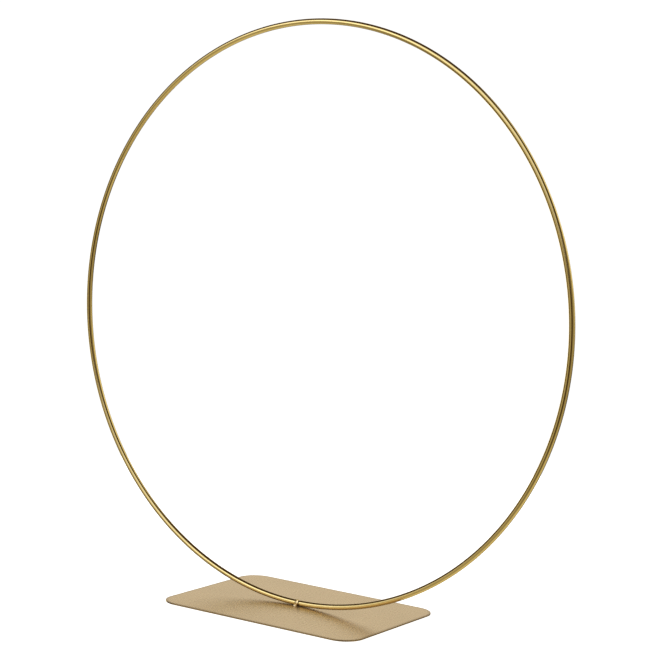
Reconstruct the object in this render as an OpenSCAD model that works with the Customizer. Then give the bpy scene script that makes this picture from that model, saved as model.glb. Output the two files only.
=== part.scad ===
// Wreath frame: a round wire hoop that stands on a flat base plate.
// +X runs along the plate, +Y to the back and +Z up. The origin is the middle
// of the surface that the frame stands on.

/* [Hoop] */
// Outside diameter of the hoop
hoop_d = 400; // [250:10:500]
// Diameter of the hoop's round wire
wire_d = 4; // [3:0.5:6]

/* [Base plate] */
// Length of the plate, in the hoop's own direction
plate_l = 160; // [120:5:220]
// Width of the plate, from front to back
plate_w = 110; // [80:5:160]
// Thickness of the plate's sheet
plate_t = 1; // [0.8:0.1:3]
// Radius of the plate's corners
corner_r = 15; // [4:1:30]

/* [Lug] */
// Thickness of the upright lug between the hoop's ends
lug_t = 1.2; // [0.8:0.1:2]
// Length of the lug's foot on the plate, from front to back
lug_foot = 7.2; // [6:0.2:12]
// Height of the lug's top above the wire
lug_rise = 0.3; // [0.2:0.1:1.2]
// Radius of the lug's rounded top
lug_tip_r = 0.6; // [0.4:0.1:1]

/* [Welds] */
// Space that the weld fills between the lug and the hoop's left end
left_gap = 0.5; // [0.2:0.1:1]
// Space that the weld fills between the lug and the hoop's right end
right_gap = 0.3; // [0.2:0.1:1]
// Depth of the groove around the left weld
left_groove = 0.5; // [0.1:0.1:0.8]
// Depth of the groove around the right weld
right_groove = 0.1; // [0.1:0.1:0.8]
// Radius of the round weld bead at each end of the lug's foot
foot_bead_r = 1.3; // [0.7:0.1:1.5]

/* [Pads] */
// Diameter of each anti-slip pad
pad_d = 12; // [8:1:20]
// Thickness of each anti-slip pad
pad_t = 0.5; // [0.5:0.1:3]
// Distance from the plate's edges to the middle of a pad
pad_inset = 16; // [12:1:30]

/* [Hidden] */

// Segments of a large round, and of a small one
fine = 180;
small = 48;

LEFT = -1;
RIGHT = 1;
FRONT = -1;
BACK = 1;

wire_r = wire_d / 2;
hoop_r = hoop_d / 2 - wire_r;
plate_top = pad_t + plate_t;
hoop_z = plate_top + hoop_d / 2;
wire_z = plate_top + wire_r;

// A bead sits this far up from the plate, so that its cap is more than half a ball
bead_z = plate_top + foot_bead_r / 4;

// Where the lug's sloping edge meets its rounded top, measured from the tip's centre
lug_tip_z = wire_d + lug_rise - lug_tip_r;
lug_edge_turn = acos(lug_tip_r / norm([lug_foot / 2, lug_tip_z]));
lug_edge_angle = lug_edge_turn - atan2(lug_tip_z, lug_foot / 2);
lug_edge_y = lug_tip_r * cos(lug_edge_angle);
lug_edge_z = lug_tip_z + lug_tip_r * sin(lug_edge_angle);

// Turns a drawing in X and Y upright, into Y and Z, and gives it a thickness in X
module upright(thickness) {
    rotate([90, 0, 90])
        linear_extrude(thickness, center = true)
            children();
}

// The flat sheet, cut with rounded corners
module base_plate() {
    color("burlywood")
        translate([0, 0, pad_t])
            linear_extrude(plate_t)
                union() {
                    square([plate_l - 2 * corner_r, plate_w], center = true);
                    square([plate_l, plate_w - 2 * corner_r], center = true);
                    for (x = [LEFT, RIGHT], y = [FRONT, BACK])
                        translate([x * (plate_l / 2 - corner_r), y * (plate_w / 2 - corner_r)])
                            circle(corner_r, $fn = fine);
                }
}

// Round wire bent into a ring, open at the bottom, where its two ends face the lug
module hoop() {
    color("goldenrod")
        difference() {
            translate([0, 0, hoop_z])
                rotate([90, 0, 0])
                    rotate_extrude($fn = fine)
                        translate([hoop_r, 0])
                            circle(wire_r, $fn = small);
            translate([-lug_t / 2 - left_gap, -wire_d, 0])
                cube([left_gap + lug_t + right_gap, 2 * wire_d, plate_top + 2 * wire_d]);
        }
}

// Small gusset that stands across the hoop, broad on the plate and rounded on top
module hoop_lug() {
    color("goldenrod")
        translate([0, 0, plate_top])
            upright(lug_t)
                union() {
                    polygon([[-lug_foot / 2, 0], [lug_foot / 2, 0],
                             [lug_edge_y, lug_edge_z], [-lug_edge_y, lug_edge_z]]);
                    translate([0, lug_tip_z])
                        circle(lug_tip_r, $fn = small);
                }
}

// Disc of weld metal between the lug's face and one end of the hoop
module hoop_weld(side, gap, groove) {
    color("darkgoldenrod")
        translate([side * (lug_t + gap) / 2, 0, wire_z])
            rotate([0, 90, 0])
                cylinder(h = gap, r = wire_r - groove, center = true, $fn = small);
}

// Rounded bead of weld metal around one end of the lug's foot
module foot_weld(side) {
    color("goldenrod")
        difference() {
            translate([0, side * lug_foot / 2, bead_z])
                sphere(foot_bead_r, $fn = small);
            translate([0, side * lug_foot / 2, plate_top - foot_bead_r])
                cube(2 * foot_bead_r, center = true);
            hoop_lug();
        }
}

// Thin round pad under one corner of the plate
module pad(x_side, y_side) {
    color("dimgray")
        translate([x_side * (plate_l / 2 - pad_inset), y_side * (plate_w / 2 - pad_inset), 0])
            cylinder(h = pad_t, d = pad_d, $fn = small);
}

base_plate();
hoop();
hoop_lug();
hoop_weld(LEFT, left_gap, left_groove);  // hoop_weld_left
hoop_weld(RIGHT, right_gap, right_groove);  // hoop_weld_right
foot_weld(FRONT);  // foot_weld_front
foot_weld(BACK);  // foot_weld_back
pad(LEFT, FRONT);  // pad_front_left
pad(RIGHT, FRONT);  // pad_front_right
pad(LEFT, BACK);  // pad_back_left
pad(RIGHT, BACK);  // pad_back_right
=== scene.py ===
"""Looks of the wreath frame: a gold wire hoop that stands on a satin base plate."""

import math

import bmesh
import bpy
from mathutils import Matrix, Vector, noise


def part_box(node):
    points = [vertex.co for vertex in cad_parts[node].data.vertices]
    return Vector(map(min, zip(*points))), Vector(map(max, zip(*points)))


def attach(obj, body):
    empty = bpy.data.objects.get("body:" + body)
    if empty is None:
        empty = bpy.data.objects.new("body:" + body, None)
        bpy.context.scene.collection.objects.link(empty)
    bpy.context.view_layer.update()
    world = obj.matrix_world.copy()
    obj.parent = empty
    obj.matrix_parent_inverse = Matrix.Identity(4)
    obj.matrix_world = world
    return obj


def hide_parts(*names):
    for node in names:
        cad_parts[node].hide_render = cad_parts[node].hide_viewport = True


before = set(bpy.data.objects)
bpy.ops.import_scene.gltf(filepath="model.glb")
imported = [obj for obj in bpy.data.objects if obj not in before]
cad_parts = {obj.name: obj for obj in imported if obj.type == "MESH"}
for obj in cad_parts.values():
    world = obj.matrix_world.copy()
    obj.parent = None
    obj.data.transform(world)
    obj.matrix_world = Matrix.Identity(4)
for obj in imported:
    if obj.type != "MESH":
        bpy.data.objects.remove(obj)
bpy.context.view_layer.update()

MM = 0.001
BODY = "root"


# ---- sizes, from the frame's boxes ----

def middle(box):
    return (box[0] + box[1]) / 2


plate_low, plate_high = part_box("base_plate")
hoop_low, hoop_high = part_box("hoop")
lug_low, lug_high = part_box("hoop_lug")

PLATE_LENGTH = plate_high.x - plate_low.x
PLATE_WIDTH = plate_high.y - plate_low.y

WIRE_RADIUS = (hoop_high.y - hoop_low.y) / 2
HOOP_RADIUS = (hoop_high.z - hoop_low.z) / 2 - WIRE_RADIUS
HOOP_CENTRE = Vector((0, 0, hoop_high.z - WIRE_RADIUS - HOOP_RADIUS))
HOOP_LEFT_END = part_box("hoop_weld_left")[0].x
HOOP_RIGHT_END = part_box("hoop_weld_right")[1].x

# Radii of the CAD that its boxes don't tell
PLATE_CORNER = 15 * MM
LUG_TIP_RADIUS = 0.6 * MM

# Softened edges, and the border over which painted shade darkens the plate towards its edge
PLATE_EDGE = 0.22 * MM
LUG_EDGE = 0.14 * MM
PLATE_SHADE_BORDER = 2 * MM

FLOOR_RADIUS = 0.6

# Tints of the lights and the walls
DAYLIGHT = (0.9, 1.0, 1.15)
CREAM = (1.0, 1.0, 0.75)
WARM = (1.0, 0.96, 0.82)
AMBER = (1.0, 0.85, 0.25)

# Sockets of a Mix node that mixes colours
MIX_FACTOR, MIX_A, MIX_B, MIX_RESULT = 0, 6, 7, 2


# ---- mesh helpers ----

def skin(name, loops, material, replaced, uv=None):
    """A piece: a closed mesh through loops of equally many points, with a face at both ends."""
    bm = bmesh.new()
    rows = [[bm.verts.new(p) for p in loop] for loop in loops]
    count = len(loops[0])
    layer = bm.loops.layers.uv.new("UVMap") if uv else None
    for i in range(len(rows) - 1):
        for k in range(count):
            n = (k + 1) % count
            face = bm.faces.new((rows[i][k], rows[i][n], rows[i + 1][n], rows[i + 1][k]))
            if uv:
                corners = ((i, k), (i, k + 1), (i + 1, k + 1), (i + 1, k))
                for loop, (along, around) in zip(face.loops, corners):
                    loop[layer].uv = uv(along, around)
    bm.faces.new(rows[0])
    bm.faces.new(reversed(rows[-1]))
    bmesh.ops.recalc_face_normals(bm, faces=bm.faces)
    for face in bm.faces:
        face.smooth = True
    mesh = bpy.data.meshes.new(name)
    bm.to_mesh(mesh)
    bm.free()
    mesh.materials.append(material)
    piece = bpy.data.objects.new(name, mesh)
    bpy.context.scene.collection.objects.link(piece)
    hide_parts(replaced)
    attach(piece, BODY)
    return piece


def quarter(radius, steps):
    """Offsets (inwards, down) of a rounded edge, from its side to its face."""
    turns = [math.pi / 2 * k / steps for k in range(steps + 1)]
    return [(radius * (1 - math.cos(t)), radius * (1 - math.sin(t))) for t in turns]


# ---- materials ----

def new_material(name):
    """A material, its nodes and its shader."""
    material = bpy.data.materials.new(name)
    material.use_nodes = True
    tree = material.node_tree
    return material, tree, tree.nodes["Principled BSDF"]


def node(tree, kind, **settings):
    """A new node, with its sockets and settings given by name."""
    made = tree.nodes.new(kind)
    for key, value in settings.items():
        if key in made.inputs:
            made.inputs[key].default_value = value
        else:
            setattr(made, key, value)
    return made


def noise_of(tree, vector, scale, detail=2.0):
    made = node(tree, "ShaderNodeTexNoise", Scale=scale, Detail=detail)
    tree.links.new(vector, made.inputs["Vector"])
    return made.outputs["Fac"]


def spread(tree, value, low, high):
    """value, from its middle half, spread from low to high."""
    made = node(tree, "ShaderNodeMapRange")
    made.inputs["From Min"].default_value = 0.25
    made.inputs["From Max"].default_value = 0.75
    made.inputs["To Min"].default_value = low
    made.inputs["To Max"].default_value = high
    tree.links.new(value, made.inputs["Value"])
    return made.outputs["Result"]


def shade(tree, value, dark, light):
    """A colour between dark and light, by value."""
    made = node(tree, "ShaderNodeValToRGB")
    made.color_ramp.elements[0].position = 0.3
    made.color_ramp.elements[0].color = (*dark, 1)
    made.color_ramp.elements[1].position = 0.7
    made.color_ramp.elements[1].color = (*light, 1)
    tree.links.new(value, made.inputs["Fac"])
    return made.outputs["Color"]


def bump(tree, height, distance, strength=1.0, under=None):
    """The normal of a surface raised by height, on top of the normal under it."""
    made = node(tree, "ShaderNodeBump", Strength=strength, Distance=distance)
    tree.links.new(height, made.inputs["Height"])
    if under:
        tree.links.new(under, made.inputs["Normal"])
    return made.outputs["Normal"]


def wire_gold():
    """Gold lacquer on drawn wire: fine lines along the wire under a smooth coat."""
    material, tree, shader = new_material("wire_gold")
    place = node(tree, "ShaderNodeUVMap").outputs["UV"]
    # Much finer round the wire than along it, so that the noise becomes lines
    drawn = node(tree, "ShaderNodeVectorMath", operation="MULTIPLY")
    drawn.inputs[1].default_value = (18, 900, 1)
    tree.links.new(place, drawn.inputs[0])
    lines = noise_of(tree, drawn.outputs["Vector"], 1.0, 3.0)
    cloud = noise_of(tree, node(tree, "ShaderNodeTexCoord").outputs["Object"], 60.0)
    peel = noise_of(tree, node(tree, "ShaderNodeTexCoord").outputs["Object"], 1500.0)
    tree.links.new(shade(tree, cloud, (0.48, 0.345, 0.12), (0.52, 0.375, 0.14)),
                   shader.inputs["Base Color"])
    tree.links.new(spread(tree, lines, 0.14, 0.22), shader.inputs["Roughness"])
    under = bump(tree, lines, 0.01 * MM)
    tree.links.new(bump(tree, peel, 0.01 * MM, 0.6, under), shader.inputs["Normal"])
    shader.inputs["Metallic"].default_value = 1.0
    shader.inputs["Coat Weight"].default_value = 0.7
    shader.inputs["Coat IOR"].default_value = 1.5
    shader.inputs["Coat Roughness"].default_value = 0.08
    return material


def joint_gold(name, dark, light, rough, lumps):
    """The same lacquer over worked or fused metal; lumps is how high it is uneven."""
    material, tree, shader = new_material(name)
    place = node(tree, "ShaderNodeTexCoord").outputs["Object"]
    cloud = noise_of(tree, place, 900.0, 3.0)
    grain = noise_of(tree, place, 4000.0, 3.0)
    tree.links.new(shade(tree, cloud, dark, light), shader.inputs["Base Color"])
    tree.links.new(spread(tree, grain, rough - 0.05, rough + 0.08), shader.inputs["Roughness"])
    under = bump(tree, cloud, lumps)
    tree.links.new(bump(tree, grain, 0.008 * MM, 0.5, under), shader.inputs["Normal"])
    shader.inputs["Metallic"].default_value = 1.0
    shader.inputs["Coat Weight"].default_value = 0.5
    shader.inputs["Coat Roughness"].default_value = 0.15
    return material


def plate_gold():
    """Satin champagne lacquer with fine metal flake, and a darker line of painted shade along the
    edges.
    """
    material, tree, shader = new_material("plate_gold")
    place = node(tree, "ShaderNodeTexCoord").outputs["Object"]
    cloud = noise_of(tree, place, 28.0)
    flake = node(tree, "ShaderNodeTexVoronoi", Scale=4500.0)
    tree.links.new(place, flake.inputs["Vector"])
    peel = noise_of(tree, place, 700.0, 3.0)
    body = shade(tree, cloud, (0.50, 0.37, 0.205), (0.54, 0.40, 0.225))
    glint = node(tree, "ShaderNodeMix", data_type="RGBA", blend_type="OVERLAY")
    glint.inputs[MIX_FACTOR].default_value = 0.07
    tree.links.new(body, glint.inputs[MIX_A])
    tree.links.new(flake.outputs["Color"], glint.inputs[MIX_B])
    painted_edge_shade = node(tree, "ShaderNodeAttribute", attribute_name="painted_edge_shade")
    # Painted shade: the base colour is multiplied darker on the edge faces, fading out across the
    # border inside them
    edge_shade_mix = node(tree, "ShaderNodeMix", data_type="RGBA", blend_type="MULTIPLY")
    edge_shade_mix.inputs[MIX_B].default_value = (0.52, 0.47, 0.40, 1)
    tree.links.new(painted_edge_shade.outputs["Fac"], edge_shade_mix.inputs[MIX_FACTOR])
    tree.links.new(glint.outputs[MIX_RESULT], edge_shade_mix.inputs[MIX_A])
    tree.links.new(edge_shade_mix.outputs[MIX_RESULT], shader.inputs["Base Color"])
    tree.links.new(spread(tree, peel, 0.25, 0.30), shader.inputs["Roughness"])
    tree.links.new(bump(tree, peel, 0.004 * MM, 0.6), shader.inputs["Normal"])
    shader.inputs["Metallic"].default_value = 0.85
    return material


def pad_foam():
    """Matt black foam rubber with small open cells."""
    material, tree, shader = new_material("pad_foam")
    place = node(tree, "ShaderNodeTexCoord").outputs["Object"]
    cells = node(tree, "ShaderNodeTexVoronoi", Scale=3200.0)
    tree.links.new(place, cells.inputs["Vector"])
    cloud = noise_of(tree, place, 250.0, 3.0)
    tree.links.new(shade(tree, cloud, (0.012, 0.012, 0.012), (0.03, 0.03, 0.03)),
                   shader.inputs["Base Color"])
    tree.links.new(spread(tree, cloud, 0.75, 0.9), shader.inputs["Roughness"])
    tree.links.new(bump(tree, cells.outputs["Distance"], 0.06 * MM), shader.inputs["Normal"])
    return material


# ---- pieces ----

def rounded_rectangle(inset, z, steps=24):
    """The plate's outline, inset from its edge, counter-clockwise."""
    radius = PLATE_CORNER - inset
    x = PLATE_LENGTH / 2 - PLATE_CORNER
    y = PLATE_WIDTH / 2 - PLATE_CORNER
    points = []
    for turn, (sx, sy) in enumerate(((1, 1), (-1, 1), (-1, -1), (1, -1))):
        for k in range(steps + 1):
            a = math.pi / 2 * (turn + k / steps)
            points.append(Vector((sx * x + radius * math.cos(a), sy * y + radius * math.sin(a), z)))
    return points


def base_plate(material):
    """The sheet, with slightly rounded edges, and a border that painted shade darkens towards the edge.
    """
    rows = 4
    edge = quarter(PLATE_EDGE, 5)
    borders = [PLATE_SHADE_BORDER * k / rows for k in range(1, rows + 1)]
    loops = [rounded_rectangle(PLATE_EDGE + b, plate_low.z) for b in reversed(borders)]
    loops += [rounded_rectangle(i, plate_low.z + down) for i, down in reversed(edge)]
    loops += [rounded_rectangle(i, plate_high.z - down) for i, down in edge]
    loops += [rounded_rectangle(PLATE_EDGE + b, plate_high.z) for b in borders]
    sheet = skin("plate_sheet", loops, material, "base_plate")
    # Weights of the painted edge shade: full on the edge faces, fading to nothing across the border
    edge_shade_weights = [1 - b / PLATE_SHADE_BORDER for b in reversed(borders)]
    edge_shade_weights += [1.0] * (2 * len(edge)) + edge_shade_weights[::-1]
    painted_edge_shade = sheet.data.attributes.new("painted_edge_shade", "FLOAT", "POINT")
    for i, point in enumerate(painted_edge_shade.data):
        point.value = edge_shade_weights[i // len(loops[0])]
    return sheet


def hoop(material):
    """The bent wire, whose two cut ends, with softened rims, face the lug."""
    steps, sides, bevel = 900, 32, 0.15 * MM
    start = math.asin(HOOP_RIGHT_END / HOOP_RADIUS)
    end = 2 * math.pi + math.asin(HOOP_LEFT_END / HOOP_RADIUS)

    def loop(turn, radius):
        """Points round the wire, at a turn from the hoop's lowest point."""
        out = Vector((math.sin(turn), 0, -math.cos(turn)))
        points = []
        for k in range(sides):
            a = 2 * math.pi * k / sides
            offset = out * math.cos(a) + Vector((0, math.sin(a), 0))
            points.append(HOOP_CENTRE + out * HOOP_RADIUS + offset * radius)
        return points

    turns = [start + (end - start) * k / steps for k in range(steps + 1)]
    small_turn = bevel / HOOP_RADIUS
    loops = [loop(start, WIRE_RADIUS - bevel), loop(start + small_turn, WIRE_RADIUS)]
    loops += [loop(turn, WIRE_RADIUS) for turn in turns[1:-1]]
    loops += [loop(end - small_turn, WIRE_RADIUS), loop(end, WIRE_RADIUS - bevel)]

    def along_and_around(i, k):
        return HOOP_RADIUS * 2 * math.pi * i / steps, WIRE_RADIUS * 2 * math.pi * k / sides

    skin("hoop_wire", loops, material, "hoop", uv=along_and_around)


def lug(material):
    """The small upright gusset, with softened edges."""
    height = lug_high.z - lug_low.z
    half_foot = (lug_high.y - lug_low.y) / 2
    tip_z = height - LUG_TIP_RADIUS
    slope = math.acos(LUG_TIP_RADIUS / math.hypot(half_foot, tip_z)) - math.atan2(tip_z, half_foot)
    steps = 16

    def outline(inset, x):
        radius = LUG_TIP_RADIUS - inset
        foot = (radius - (inset - tip_z) * math.sin(slope)) / math.cos(slope)
        points = [(-foot, inset), (foot, inset)]
        for k in range(steps + 1):
            a = slope + (math.pi - 2 * slope) * k / steps
            points.append((radius * math.cos(a), tip_z + radius * math.sin(a)))
        return [Vector((x, y, lug_low.z + z)) for y, z in points]

    edge = quarter(LUG_EDGE, 4)
    loops = [outline(2 * LUG_EDGE, lug_low.x)]
    loops += [outline(i, lug_low.x + down) for i, down in reversed(edge)]
    loops += [outline(i, lug_high.x - down) for i, down in edge]
    loops += [outline(2 * LUG_EDGE, lug_high.x)]
    return skin("lug_gusset", loops, material, "hoop_lug")


def hoop_weld(side, material):
    """Uneven weld metal between the lug and one end of the wire."""
    low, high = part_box("hoop_weld_" + side)
    radius = (high.y - low.y) / 2
    centre = middle((low, high))
    sides, rows = 36, 6
    unevenness, lump_size = 0.05, 0.5 * MM
    loops = []
    for i in range(rows + 1):
        x = low.x + (high.x - low.x) * i / rows
        points = []
        for k in range(sides):
            a = 2 * math.pi * k / sides
            place = Vector((x, centre.y + radius * math.cos(a), centre.z + radius * math.sin(a)))
            swell = 1 + unevenness * noise.noise(place / lump_size)
            points.append(Vector((x, centre.y + (place.y - centre.y) * swell,
                                  centre.z + (place.z - centre.z) * swell)))
        loops.append(points)
    return skin("weld_ring_" + side, loops, material, "hoop_weld_" + side)


def foot_weld(end, material):
    """A rounded, slightly lumpy bead around one end of the lug's foot."""
    low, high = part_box("foot_weld_" + end)
    radius = (high.x - low.x) / 2
    side = 1 if high.y > 0 else -1
    centre = Vector((0, side * lug_high.y, high.z - radius))
    dip = math.asin((centre.z - low.z) / radius)
    sides, rows = 36, 14
    unevenness, lump_size = 0.06, 0.6 * MM
    loops = []
    for i in range(rows):
        rise = -dip + (math.pi / 2 + dip) * i / rows
        points = []
        for k in range(sides):
            a = 2 * math.pi * k / sides
            way = Vector((math.cos(a) * math.cos(rise), math.sin(a) * math.cos(rise), math.sin(rise)))
            lump = unevenness * noise.noise((centre + way * radius) / lump_size)
            reach = radius * (1 + lump * math.cos(rise))
            points.append(centre + way * reach)
        loops.append(points)
    for point in loops[0]:
        point.z = low.z
    return skin("bead_" + end, loops, material, "foot_weld_" + end)


def pad(node_name, material):
    """A soft round pad with a rounded lower edge, a little narrower towards the plate."""
    low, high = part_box(node_name)
    centre = middle((low, high))
    radius = (high.x - low.x) / 2
    height = high.z - low.z
    sides, rows = 64, 4
    soft = 0.25 * height
    step_in = 0.2 * soft

    def loop(inset, z):
        turns = [2 * math.pi * k / sides for k in range(sides)]
        reach = radius - inset
        return [Vector((centre.x + reach * math.cos(a), centre.y + reach * math.sin(a), z))
                for a in turns]

    edge = quarter(soft, 5)
    loops = [loop(2 * soft, low.z)]
    loops += [loop(i, low.z + down) for i, down in reversed(edge)]
    for k in range(1, rows + 1):
        loops.append(loop(step_in * k, low.z + soft + (height - soft) * k / rows))
    loops += [loop(2 * soft, high.z)]
    skin("foam_" + node_name, loops, material, node_name)


# ---- stage, lights and camera ----

def floor():
    """A round pale table top, plain white for the camera.

    The metal doesn't reflect it, but the room's own table top.
    """
    mesh = bpy.data.meshes.new("floor")
    bm = bmesh.new()
    bmesh.ops.create_circle(bm, cap_ends=True, segments=96, radius=FLOOR_RADIUS)
    bm.to_mesh(mesh)
    bm.free()
    material, tree, shader = new_material("floor_pale")
    shader.inputs["Base Color"].default_value = (0.8, 0.8, 0.8, 1)
    shader.inputs["Roughness"].default_value = 0.9
    shader.inputs["Specular IOR Level"].default_value = 0.0
    shader.inputs["Emission Color"].default_value = (1, 1, 1, 1)
    tree.links.new(node(tree, "ShaderNodeLightPath").outputs["Is Camera Ray"],
                   shader.inputs["Emission Strength"])
    mesh.materials.append(material)
    made = bpy.data.objects.new("floor", mesh)
    made.visible_glossy = False
    bpy.context.scene.collection.objects.link(made)


def direction(azimuth, elevation):
    """The way to a point round the hoop: azimuth 0 is the front, and 90 is +X."""
    a, e = math.radians(azimuth), math.radians(elevation)
    return Vector((math.sin(a) * math.cos(e), -math.cos(a) * math.cos(e), math.sin(e)))


def softbox(name, azimuth, elevation, distance, width, radiance, tint):
    """A round soft lamp, aimed at the hoop's middle, which the camera doesn't see."""
    lamp = bpy.data.lights.new(name, "AREA")
    lamp.shape = "DISK"
    lamp.size = width
    lamp.energy = radiance * math.pi * math.pi * (width / 2) ** 2
    lamp.color = tint
    made = bpy.data.objects.new(name, lamp)
    made.visible_camera = False
    bpy.context.scene.collection.objects.link(made)
    way = direction(azimuth, elevation)
    made.location = HOOP_CENTRE + way * distance
    made.rotation_euler = (-way).to_track_quat("-Z", "Y").to_euler()
    return made


def fill_lights(lit):
    """Soft lamps above and around the object, which light only these pieces.

    The wire isn't one of them, because its dark outlines need a dim room.
    """
    lamps = [softbox("overhead", 0, 88, distance=1.2, width=2.0, radiance=1.0, tint=WARM)]
    for azimuth in (45, 90, 180, -90):
        lamps.append(softbox("side_lamp", azimuth, 15, distance=1.6, width=0.9,
                             radiance=0.8, tint=WARM))
    receivers = bpy.data.collections.new("lit_by_fill")
    for piece in lit:
        receivers.objects.link(piece)
    for lamp in lamps:
        lamp.light_linking.receiver_collection = receivers


def lobe(tree, azimuth, elevation, inner, outer):
    """A round patch of the room: 1 within the inner angle of its middle, 0 beyond the outer one."""
    place = node(tree, "ShaderNodeTexCoord").outputs["Generated"]
    dot = node(tree, "ShaderNodeVectorMath", operation="DOT_PRODUCT")
    dot.inputs[1].default_value = direction(azimuth, elevation)
    tree.links.new(place, dot.inputs[0])
    fade = node(tree, "ShaderNodeMapRange", interpolation_type="SMOOTHSTEP")
    fade.inputs["From Min"].default_value = math.cos(math.radians(outer))
    fade.inputs["From Max"].default_value = math.cos(math.radians(inner))
    tree.links.new(dot.outputs["Value"], fade.inputs["Value"])
    return fade.outputs["Result"]


def patch(tree, behind, name, place, fade, brightness, tint):
    """What is behind, with a soft light or a pale wall added; fade is its inner and outer angle."""
    more = node(tree, "ShaderNodeVectorMath", operation="MULTIPLY_ADD")
    more.label = name
    more.inputs[1].default_value = [brightness * part for part in tint]
    tree.links.new(lobe(tree, *place, *fade), more.inputs[0])
    tree.links.new(behind, more.inputs[2])
    return more.outputs["Vector"]


def room():
    """A white room for the camera, and a dim warm one with soft lights and pale walls for the metal."""
    world = bpy.data.worlds.new("room")
    bpy.context.scene.world = world
    world.use_nodes = True
    tree = world.node_tree
    seen = node(tree, "ShaderNodeCombineColor", Red=0.08, Green=0.045, Blue=0.01).outputs[0]
    seen = patch(tree, seen, "window", (-35, 25), (0, 30), 1.4, DAYLIGHT)
    seen = patch(tree, seen, "front softbox", (5, 35), (0, 35), 1.8, DAYLIGHT)
    seen = patch(tree, seen, "back softbox", (145, 25), (0, 40), 1.8, CREAM)
    seen = patch(tree, seen, "low lamp", (-120, -10), (0, 20), 2.0, AMBER)
    seen = patch(tree, seen, "front wall", (-30, -5), (20, 35), 0.6, CREAM)
    seen = patch(tree, seen, "right wall", (90, -15), (5, 55), 0.55, CREAM)
    seen = patch(tree, seen, "back left wall", (-145, 15), (5, 25), 0.9, WARM)
    seen = patch(tree, seen, "table top", (0, -90), (20, 70), 1.0, CREAM)
    pick = node(tree, "ShaderNodeMix", data_type="RGBA")
    tree.links.new(node(tree, "ShaderNodeLightPath").outputs["Is Camera Ray"], pick.inputs[MIX_FACTOR])
    tree.links.new(seen, pick.inputs[MIX_A])
    # A little over 1, so that the background is plain white
    pick.inputs[MIX_B].default_value = (1.05, 1.05, 1.05, 1)
    tree.links.new(pick.outputs[MIX_RESULT], tree.nodes["Background"].inputs["Color"])


def camera():
    """The camera, at the front right and a little above the hoop's middle, looking slightly down."""
    distance = 6.43 * HOOP_RADIUS
    place = HOOP_CENTRE + direction(34.8, 5.52) * distance
    yaw = math.radians(34.32)
    pitch = math.radians(5.76)
    roll = math.radians(2.38)
    forward = Vector((-math.sin(yaw) * math.cos(pitch), math.cos(yaw) * math.cos(pitch),
                      -math.sin(pitch)))
    right = Vector((math.cos(yaw), math.sin(yaw), 0))
    up = right.cross(forward)
    across = math.cos(roll) * right + math.sin(roll) * up
    upward = math.cos(roll) * up - math.sin(roll) * right
    lens = bpy.data.cameras.new("camera")
    lens.sensor_width = 36
    lens.lens = 104.07
    lens.clip_end = 100
    made = bpy.data.objects.new("camera", lens)
    matrix = Matrix((across, upward, -forward)).transposed().to_4x4()
    matrix.translation = place
    made.matrix_world = matrix
    bpy.context.scene.collection.objects.link(made)
    bpy.context.scene.camera = made


camera()
floor()
room()
softbox("key", -35, 25, distance=1.6, width=0.7, radiance=1.4, tint=DAYLIGHT)
bpy.context.scene.view_settings.view_transform = "Standard"

gold = wire_gold()
# Both colours are lighter than the wire's lacquer: painted highlight for the bright lug strip and weld
# lumps, with random tone between dark and light
lug_gold_painted_highlight = joint_gold("lug_gold_painted_highlight", (0.58, 0.42, 0.19), (0.66, 0.48, 0.23),
                      rough=0.24, lumps=0.01 * MM)
weld_gold_painted_highlight = joint_gold("weld_gold_painted_highlight", (0.66, 0.50, 0.29), (0.78, 0.60, 0.37),
                       rough=0.28, lumps=0.04 * MM)
foam = pad_foam()

sheet = base_plate(plate_gold())
hoop(gold)
gusset = lug(lug_gold_painted_highlight)
rings = [hoop_weld(side, weld_gold_painted_highlight) for side in ("left", "right")]
beads = [foot_weld(end, weld_gold_painted_highlight) for end in ("front", "back")]
for end in ("front", "back"):
    for side in ("left", "right"):
        pad("pad_" + end + "_" + side, foam)
fill_lights([sheet, gusset] + rings + beads)
